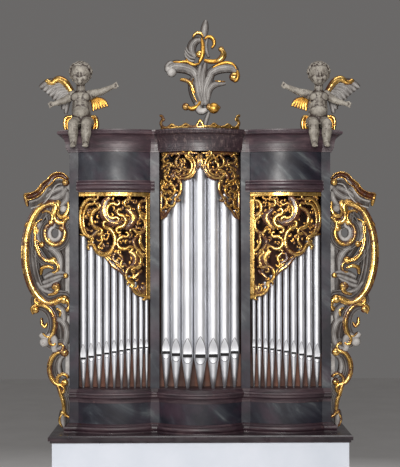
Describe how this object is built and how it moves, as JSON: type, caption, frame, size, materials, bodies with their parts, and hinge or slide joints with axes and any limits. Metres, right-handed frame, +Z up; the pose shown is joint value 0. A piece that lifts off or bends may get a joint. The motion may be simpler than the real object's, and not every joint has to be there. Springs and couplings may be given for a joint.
{
  "type": "pipe organ",
  "caption": "Small baroque positive organ case with tin front pipes, gilt pipe shades, carved wings, crest and putti, standing on a white display pedestal.",
  "frame": {"origin": "on the floor, under the middle of the pedestal's base", "axes": "+Z up, -Y out of the front of the case, +X to the viewer's right facing the front"},
  "size_m": [1.242, 0.4097, 2.353],
  "materials": {
    "white_paint": "matte",
    "dark_paint": "satin",
    "plum_paint": "satin",
    "marbled_paint": "gloss",
    "bare_wood": "matte",
    "gilding": "satin",
    "pipe_metal": "satin",
    "grey_paint": "matte",
    "figure_paint": "matte"
  },
  "bodies": {
    "root": {"pedestal_front": "white_paint", "pedestal_back": "white_paint", "pedestal_left": "white_paint", "pedestal_right": "white_paint", "pedestal_top": "white_paint", "base_board": "dark_paint", "foot_moulding": "plum_paint", "fascia_left": "marbled_paint", "fascia_tower": "marbled_paint", "fascia_right": "marbled_paint", "impost": "plum_paint", "stile_outer_left": "marbled_paint", "stile_inner_left": "marbled_paint", "stile_inner_right": "marbled_paint", "stile_outer_right": "marbled_paint", "frieze_left": "marbled_paint", "frieze_right": "marbled_paint", "side_panel_left": "plum_paint", "side_panel_right": "plum_paint", "lintel_left": "plum_paint", "lintel_right": "plum_paint", "cornice_left": "plum_paint", "cornice_tower": "plum_paint", "cornice_right": "plum_paint", "back_panel": "bare_wood", "rack_board": "bare_wood", "roof_board": "bare_wood", "gilt_frame_left": "gilding", "gilt_frame_right": "gilding", "pipe_shade_left": "gilding", "pipe_shade_right": "gilding", "tower_shade_left": "gilding", "tower_shade_right": "gilding", "wing_hood_left": "gilding", "wing_hood_right": "gilding", "tower_cresting": "gilding", "pipes_left": "pipe_metal", "pipes_tower": "pipe_metal", "pipes_right": "pipe_metal", "wing_left": "grey_paint", "wing_right": "grey_paint", "crest": "grey_paint", "putto_left": "figure_paint", "putto_right": "figure_paint", "putto_left_wings": "gilding", "putto_right_wings": "gilding"}
  },
  "joints": []
}
